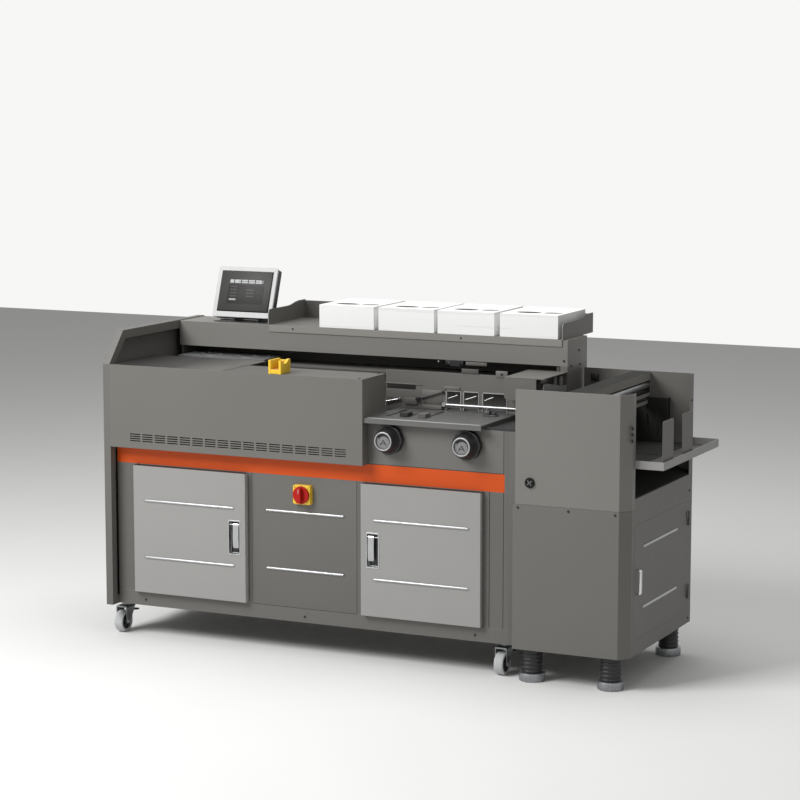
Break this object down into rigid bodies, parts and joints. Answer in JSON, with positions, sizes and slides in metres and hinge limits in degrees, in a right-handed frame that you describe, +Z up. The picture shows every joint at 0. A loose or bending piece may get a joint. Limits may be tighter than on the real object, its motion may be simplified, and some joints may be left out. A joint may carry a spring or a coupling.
{
  "type": "perfect binding machine",
  "caption": "Floor-standing hot-glue book binder: clamp carriage on rails over milling, gluing and nipping, cover table, book rack, touch screen and cover feeder module.",
  "frame": {"origin": "on the floor under the middle of the bounding box", "axes": "+Z up, +X along the machine towards the cover feeder, -Y towards the operator"},
  "size_m": [2.014, 0.767, 1.245],
  "materials": {
    "aluminium": "brushed",
    "black_paint": "satin",
    "black_plastic": "matt",
    "chrome": "polished",
    "galvanised": "zinc plated",
    "grey_paint": "satin powder coat",
    "light_paint": "satin powder coat",
    "orange_paint": "gloss paint",
    "paper": "cut edges",
    "red_plastic": "satin",
    "screen": "clear",
    "steel": "ground",
    "tread": "matt",
    "white_plastic": "matt",
    "yellow_plastic": "matt"
  },
  "bodies": {
    "frame": {"left_side_panel": "grey_paint", "right_side_panel": "grey_paint", "cabinet_frame": "grey_paint", "rear_panels": "grey_paint", "front_panels": "grey_paint", "orange_band": "orange_paint", "hood": "grey_paint", "yellow_fittings": "yellow_plastic", "beam": "grey_paint", "book_rack": "grey_paint", "bay_wall": "grey_paint", "cover_table": "aluminium", "black_fittings": "black_plastic", "chrome_trim": "chrome", "carriage_rails": "steel", "works_bed": "galvanised", "glue_tank": "aluminium", "module_body": "grey_paint", "module_upper_cover": "grey_paint", "feeder_works": "steel", "cover_tray": "light_paint"},
    "left_door": {"left_door": "light_paint", "left_door_trim": "chrome"},
    "right_door": {"right_door": "light_paint", "right_door_trim": "chrome"},
    "left_paddle": {"left_paddle": "steel"},
    "right_paddle": {"right_paddle": "steel"},
    "side_door": {"side_door": "light_paint", "side_door_trim": "chrome"},
    "book_blocks": {"book_blocks": "paper"},
    "cover_guides": {"cover_guides": "aluminium"},
    "handwheel_left": {"handwheel_left": "black_plastic"},
    "dial_left": {"dial_left": "white_plastic"},
    "handwheel_right": {"handwheel_right": "black_plastic"},
    "dial_right": {"dial_right": "white_plastic"},
    "switch_knob": {"switch_knob": "red_plastic"},
    "clamp_carriage": {"clamp_carriage": "aluminium"},
    "clamp_jaw": {"clamp_jaw": "aluminium"},
    "milling_cutter": {"milling_cutter": "steel"},
    "glue_roller_1": {"glue_roller_1": "steel"},
    "glue_roller_2": {"glue_roller_2": "steel"},
    "nip_table": {"nip_table": "steel"},
    "nip_jaw": {"nip_jaw": "steel"},
    "feed_roller": {"feed_roller": "black_paint"},
    "end_stops": {"end_stops": "steel"},
    "quarter_turn_lock": {"quarter_turn_lock": "black_plastic"},
    "touch_screen": {"screen_housing": "white_plastic", "screen_glass": "screen"},
    "castor_fork_1": {"castor_fork_1": "galvanised"},
    "castor_wheel_1": {"castor_wheel_1": "tread"},
    "foot_1": {"foot_1": "galvanised"},
    "castor_fork_2": {"castor_fork_2": "galvanised"},
    "castor_wheel_2": {"castor_wheel_2": "tread"},
    "foot_2": {"foot_2": "galvanised"},
    "castor_fork_3": {"castor_fork_3": "galvanised"},
    "castor_wheel_3": {"castor_wheel_3": "tread"},
    "foot_3": {"foot_3": "galvanised"},
    "castor_fork_4": {"castor_fork_4": "galvanised"},
    "castor_wheel_4": {"castor_wheel_4": "tread"},
    "foot_4": {"foot_4": "galvanised"}
  },
  "joints": [
    {"name": "left_door_hinge", "type": "hinge", "parent": "frame", "child": "left_door", "pos_m": [-0.888, -0.3278, 0.381], "axis": [0, 0, -1], "range_deg": [0, 90]},
    {"name": "right_door_hinge", "type": "hinge", "parent": "frame", "child": "right_door", "pos_m": [0.4, -0.3278, 0.381], "axis": [0, 0, 1], "range_deg": [0, 90]},
    {"name": "left_paddle_pivot", "type": "hinge", "parent": "left_door", "child": "left_paddle", "pos_m": [-0.499, -0.34, 0.425], "axis": [-1, 0, 0], "range_deg": [0, 25], "stiffness_Nm_per_rad": 0.02},
    {"name": "right_paddle_pivot", "type": "hinge", "parent": "right_door", "child": "right_paddle", "pos_m": [0.019, -0.34, 0.425], "axis": [-1, 0, 0], "range_deg": [0, 25], "stiffness_Nm_per_rad": 0.02},
    {"name": "side_door_hinge", "type": "hinge", "parent": "frame", "child": "side_door", "pos_m": [0.9173, 0.21375, 0.344], "axis": [0, 0, 1], "range_deg": [0, 110]},
    {"name": "book_blocks_lift", "type": "slide", "parent": "frame", "child": "book_blocks", "axis": [0, 0, 1], "range_m": [0, 0.2]},
    {"name": "cover_guides_slide", "type": "slide", "parent": "frame", "child": "cover_guides", "axis": [0, 1, 0], "range_m": [0, 0.06]},
    {"name": "handwheel_left_turn", "type": "hinge", "parent": "frame", "child": "handwheel_left", "pos_m": [0.075, -0.3445, 0.752], "axis": [0, 1, 0], "continuous": true},
    {"name": "dial_left_turn", "type": "hinge", "parent": "handwheel_left", "child": "dial_left", "pos_m": [0.075, -0.3755, 0.752], "axis": [0, 1, 0], "continuous": true},
    {"name": "handwheel_right_turn", "type": "hinge", "parent": "frame", "child": "handwheel_right", "pos_m": [0.352, -0.3445, 0.752], "axis": [0, 1, 0], "continuous": true},
    {"name": "dial_right_turn", "type": "hinge", "parent": "handwheel_right", "child": "dial_right", "pos_m": [0.352, -0.3755, 0.752], "axis": [0, 1, 0], "continuous": true},
    {"name": "switch_turn", "type": "hinge", "parent": "frame", "child": "switch_knob", "pos_m": [-0.244, -0.3415, 0.546], "axis": [0, 1, 0], "range_deg": [0, 90]},
    {"name": "carriage_travel", "type": "slide", "parent": "frame", "child": "clamp_carriage", "axis": [1, 0, 0], "range_m": [0, 1.029]},
    {"name": "clamp_jaw_close", "type": "slide", "parent": "clamp_carriage", "child": "clamp_jaw", "axis": [0, 1, 0], "range_m": [0, 0.06]},
    {"name": "milling_spindle", "type": "hinge", "parent": "frame", "child": "milling_cutter", "pos_m": [-0.343, 0.0065, 0.804], "axis": [0, 0, 1], "continuous": true},
    {"name": "glue_roller_1_turn", "type": "hinge", "parent": "frame", "child": "glue_roller_1", "pos_m": [-0.177, 0.0065, 0.789], "axis": [0, 1, 0], "continuous": true},
    {"name": "glue_roller_2_turn", "type": "hinge", "parent": "frame", "child": "glue_roller_2", "pos_m": [-0.089, 0.0065, 0.789], "axis": [0, 1, 0], "continuous": true},
    {"name": "nip_table_lift", "type": "slide", "parent": "frame", "child": "nip_table", "axis": [0, 0, 1], "range_m": [0, 0.004]},
    {"name": "nip_jaw_close", "type": "slide", "parent": "frame", "child": "nip_jaw", "axis": [0, 1, 0], "range_m": [0, 0.029]},
    {"name": "feed_roller_turn", "type": "hinge", "parent": "frame", "child": "feed_roller", "pos_m": [0.751, -0.058, 0.902], "axis": [0, 1, 0], "continuous": true},
    {"name": "end_stops_slide", "type": "slide", "parent": "frame", "child": "end_stops", "axis": [-1, 0, 0], "range_m": [0, 0.05]},
    {"name": "lock_turn", "type": "hinge", "parent": "frame", "child": "quarter_turn_lock", "pos_m": [0.584, -0.3665, 0.652], "axis": [0, 1, 0], "range_deg": [0, 90]},
    {"name": "castor_swivel_1", "type": "hinge", "parent": "frame", "child": "castor_fork_1", "pos_m": [-0.977, -0.2505, 0.1037], "axis": [0, 0, 1], "continuous": true},
    {"name": "castor_axle_1", "type": "hinge", "parent": "castor_fork_1", "child": "castor_wheel_1", "pos_m": [-0.977, -0.2845, 0.0375], "axis": [1, 0, 0], "continuous": true},
    {"name": "castor_swivel_2", "type": "hinge", "parent": "frame", "child": "castor_fork_2", "pos_m": [0.458, -0.2505, 0.1037], "axis": [0, 0, 1], "continuous": true},
    {"name": "castor_axle_2", "type": "hinge", "parent": "castor_fork_2", "child": "castor_wheel_2", "pos_m": [0.458, -0.2845, 0.0375], "axis": [1, 0, 0], "continuous": true},
    {"name": "castor_swivel_3", "type": "hinge", "parent": "frame", "child": "castor_fork_3", "pos_m": [-0.977, 0.2235, 0.1037], "axis": [0, 0, 1], "continuous": true},
    {"name": "castor_axle_3", "type": "hinge", "parent": "castor_fork_3", "child": "castor_wheel_3", "pos_m": [-0.977, 0.1895, 0.0375], "axis": [1, 0, 0], "continuous": true},
    {"name": "castor_swivel_4", "type": "hinge", "parent": "frame", "child": "castor_fork_4", "pos_m": [0.458, 0.2235, 0.1037], "axis": [0, 0, 1], "continuous": true},
    {"name": "castor_axle_4", "type": "hinge", "parent": "castor_fork_4", "child": "castor_wheel_4", "pos_m": [0.458, 0.1895, 0.0375], "axis": [1, 0, 0], "continuous": true},
    {"name": "foot_screw_1", "type": "slide", "parent": "frame", "child": "foot_1", "axis": [0, 0, -1], "range_m": [0, 0.02]},
    {"name": "foot_screw_2", "type": "slide", "parent": "frame", "child": "foot_2", "axis": [0, 0, -1], "range_m": [0, 0.02]},
    {"name": "foot_screw_3", "type": "slide", "parent": "frame", "child": "foot_3", "axis": [0, 0, -1], "range_m": [0, 0.02]},
    {"name": "foot_screw_4", "type": "slide", "parent": "frame", "child": "foot_4", "axis": [0, 0, -1], "range_m": [0, 0.02]},
    {"name": "screen_tilt", "type": "hinge", "parent": "frame", "child": "touch_screen", "pos_m": [-0.7305, 0.1895, 1.07393], "axis": [1, 0, 0], "range_deg": [-12, 8]}
  ],
  "couplings": [
    {"joint": "dial_left_turn", "follows": "handwheel_left_turn", "ratio": -1},
    {"joint": "dial_right_turn", "follows": "handwheel_right_turn", "ratio": -1},
    {"joint": "glue_roller_2_turn", "follows": "glue_roller_1_turn", "ratio": 1}
  ]
}
